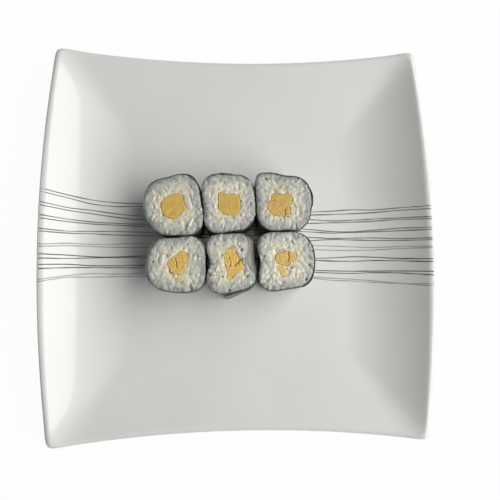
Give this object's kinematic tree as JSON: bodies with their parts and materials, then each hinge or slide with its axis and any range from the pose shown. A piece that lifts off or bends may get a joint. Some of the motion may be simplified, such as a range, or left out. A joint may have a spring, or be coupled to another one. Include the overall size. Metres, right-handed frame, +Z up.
{
  "type": "plate of maki rolls",
  "caption": "Sliced egg maki standing cut face up in two close rows on a square glazed plate with softly raised rims and thin printed lines.",
  "frame": {"origin": "middle of the plate's foot, on the plane the plate rests on", "axes": "+Z up, +X along the two rows of rolls, +Y towards the back row"},
  "size_m": [0.211, 0.2124, 0.0306],
  "materials": {
    "plate": "white glaze, glossy, with thin grey printed lines",
    "nori": "dried seaweed, dark green-black, slightly wrinkled",
    "rice": "cooked short-grain rice, moist and slightly translucent",
    "egg": "cooked egg, moist, with fine layers"
  },
  "bodies": {
    "root": {"plate": "plate", "roll_1_nori": "nori", "roll_1_rice": "rice", "roll_1_egg": "egg", "roll_2_nori": "nori", "roll_2_rice": "rice", "roll_2_egg": "egg", "roll_3_nori": "nori", "roll_3_rice": "rice", "roll_3_egg": "egg", "roll_4_nori": "nori", "roll_4_rice": "rice", "roll_4_egg": "egg", "roll_4_egg_bit": "egg", "roll_5_nori": "nori", "roll_5_rice": "rice", "roll_5_egg": "egg", "roll_6_nori": "nori", "roll_6_rice": "rice", "roll_6_egg": "egg", "roll_6_egg_lower": "egg"}
  },
  "joints": []
}
